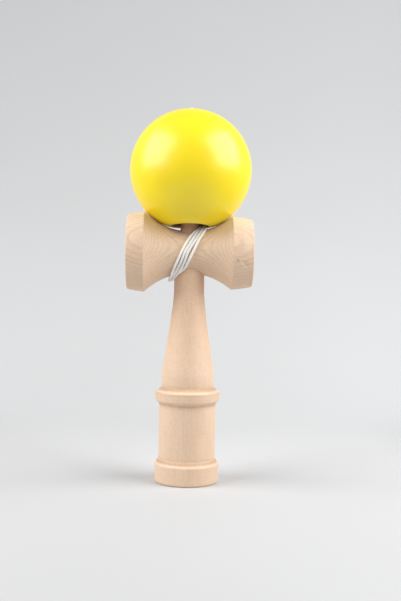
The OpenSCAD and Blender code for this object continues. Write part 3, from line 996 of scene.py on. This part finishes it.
def make_ball():
    rim_z = RIM_BOTTOM_Z - BALL_Z + BORE_ROUND
    rim_r = BORE_R + BORE_ROUND
    bore_end = RIM_BOTTOM_Z - BALL_Z + BORE_DEPTH
    point_end = bore_end + (BORE_R - STRING_HOLE_R) / math.tan(DRILL_ANGLE)
    flare_z = BALL_R - HOLE_FLARE
    # The rim's arc meets the sphere on the line through both middles
    meet = math.atan2(rim_z, rim_r)
    top = math.acos((STRING_HOLE_R + HOLE_FLARE * FLARE_SHARE) / BALL_R)
    outside = arc((0, 0), BALL_R, meet, top, BALL_STEPS)
    rim = arc((rim_r, rim_z), BORE_ROUND, -math.pi, meet, RIM_STEPS)
    inside = [(STRING_HOLE_R, flare_z), (STRING_HOLE_R, point_end), (BORE_R, bore_end)]
    outline = dense(inside + rim + outside[1:] + [inside[0]], BALL_LONGEST)
    points, faces, bands = lathe(outline, BALL_SIDES)
    points = swell_underside(lean_mouth(points)) + np.array([0, 0, BALL_Z])
    piece = new_piece("painted_ball", points, faces, [ball_paint, bore_wood])
    bare_r = BORE_R + BARE_SHARE * BORE_ROUND
    bare = {i for i, (r, h) in enumerate(outline[:-1]) if r < bare_r and h < flare_z}
    index = [1 if band in bare else 0 for band in bands]
    piece.data.polygons.foreach_set("material_index", index)
    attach(piece, "ball")
    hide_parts("ball")


# Woods: which way the grain runs, where the pith is across it, how wide a ring is and how much it shows
handle_wood = wood("handle_wood", "Z", (38, 26), 1.15, 0.05, marks=handle_marks)
cross_wood = wood("cross_wood", "X", (64, 96), 1.1, 0.45, marks=cross_marks)
bead_material = wood("bead_wood", "Z", (9, 7), 0.9, 0.3, RAW_WOOD, DARK_WOOD)
ball_paint = paint()
bore_wood = raw_wood()

make_handle()
make_cross_piece()
make_ball()
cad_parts["bead"].data.materials.clear()
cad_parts["bead"].data.materials.append(bead_material)


# Stage and light

# A floor from its front edge to the backdrop, with a bend between them
STAGE_HALF, STAGE_BACK, STAGE_TOP, STAGE_BEND = 560, 420, 1400, 260
FLOOR_PLACES, BEND_STEPS = (-640, -300, 0), 16
STAGE_GREYS = (0.612, 0.616, 0.624, 1), (0.622, 0.626, 0.634, 1)
STAGE_GRAIN = 8
# Places between which the stage changes its level of grey, and the two levels: painted shade, darker upwards,
# in front and to the left, as light falls on it
UP_PLACES, UP_LEVELS = (40, 330), (1.0, 0.9)
DEEP_PLACES, DEEP_LEVELS = (-60, 60), (0.9, 1.0)
ACROSS_PLACES, ACROSS_LEVELS = (-150, 150), (0.985, 1.035)
# Painted shade on the floor under the lamps, holding back their light there, from these distances aside and
# up to this depth
LAMP_ASIDE, LAMP_DEPTH, LAMP_SHADE = (110, 260), (80, 220), 0.6
# Where the stage fades out, aside and in front
END_ASIDE, END_FRONT = (320, 540), (-620, -320)
# Soft boxes: name, place, width and height, and power in watts
SOFTBOXES = (
    ("left_softbox", (-422, -130, 385), (490, 460), 3.22),
    ("right_softbox", (416, -128, 398), (500, 470), 3.72),
)
SOFTBOX_AIM = (0, 0, 100)
# Strengths of the world as light, and where it is seen or mirrored
WORLD_LIGHT, WORLD_SEEN = 0.27, 0.5


def stage_material():
    """Pale grey with painted shade, darker upwards, in front, to the left and under the lamps, which fades
    out at the sides and in front and can be seen through from behind.
    """
    n = Nodes("stage")
    pale = n.mix(n.fade(n.noise(n.place, STAGE_GRAIN, 2), 0.3, 0.7), *STAGE_GREYS)
    x, y, z = n.parts(n.place)
    aside = n.math("ABSOLUTE", x)
    level = n.times(
        n.rise(z, UP_PLACES, *UP_LEVELS),
        n.rise(y, DEEP_PLACES, *DEEP_LEVELS),
        n.rise(x, ACROSS_PLACES, *ACROSS_LEVELS),
    )
    painted_lamp_shade = n.times(n.rise(aside, LAMP_ASIDE), LAMP_SHADE, n.fall(y, LAMP_DEPTH))
    level = n.times(level, n.math("SUBTRACT", 1.0, painted_lamp_shade))
    n.set(Base_Color=n.tint(pale, level))
    n.set(Roughness=0.6)
    n.set(Specular_IOR_Level=0.1)
    far = n.math("MAXIMUM", n.rise(aside, END_ASIDE), n.fall(y, END_FRONT))
    hidden = n.math("MAXIMUM", far, n.add("NewGeometry").outputs["Backfacing"])
    clear = n.add("BsdfTransparent").outputs[0]
    both = n.add("MixShader", {0: hidden, 1: n.shader.outputs[0], 2: clear}).outputs[0]
    n.put(n.tree.nodes["Material Output"].inputs["Surface"], both)
    return n.material


def make_stage():
    """A floor that sweeps up into a backdrop."""
    floor_end = STAGE_BACK - STAGE_BEND
    profile = [(y, 0) for y in (*FLOOR_PLACES, floor_end)]
    for a in np.linspace(0, math.pi / 2, BEND_STEPS + 1)[1:]:
        profile.append((floor_end + STAGE_BEND * math.sin(a), STAGE_BEND - STAGE_BEND * math.cos(a)))
    profile.append((STAGE_BACK, STAGE_TOP))
    points = [(x, y, z) for y, z in profile for x in (-STAGE_HALF, STAGE_HALF)]
    faces = [(2 * i, 2 * i + 1, 2 * i + 3, 2 * i + 2) for i in range(len(profile) - 1)]
    stage = new_piece("stage", points, faces, [stage_material()])


def make_light(name, place, size, power):
    lamp = bpy.data.lights.new(name, "AREA")
    lamp.shape = "RECTANGLE"
    lamp.size, lamp.size_y = (s * MM for s in size)
    lamp.energy = power
    holder = bpy.data.objects.new(name, lamp)
    holder.location = Vector(place) * MM
    holder.rotation_euler = (Vector(SOFTBOX_AIM) - Vector(place)).to_track_quat("-Z", "Y").to_euler()
    bpy.context.scene.collection.objects.link(holder)


def make_world():
    """A white world, with the places where it is seen told by the kind of ray."""
    world = bpy.data.worlds.new("world")
    world.use_nodes = True
    tree = world.node_tree
    rays = tree.nodes.new("ShaderNodeLightPath").outputs
    sight = rays["Is Camera Ray"]
    for name in ("Is Glossy Ray", "Is Transmission Ray"):
        either = tree.nodes.new("ShaderNodeMath")
        either.operation = "MAXIMUM"
        tree.links.new(sight, either.inputs[0])
        tree.links.new(rays[name], either.inputs[1])
        sight = either.outputs[0]
    strength = tree.nodes.new("ShaderNodeMapRange")
    strength.inputs["To Min"].default_value = WORLD_LIGHT
    strength.inputs["To Max"].default_value = WORLD_SEEN
    tree.links.new(sight, strength.inputs["Value"])
    background = tree.nodes["Background"]
    background.inputs["Color"].default_value = (1, 1, 1, 1)
    tree.links.new(strength.outputs[0], background.inputs["Strength"])
    bpy.context.scene.world = world


make_stage()
for softbox in SOFTBOXES:
    make_light(*softbox)
make_world()
bpy.context.scene.view_settings.view_transform = "Standard"
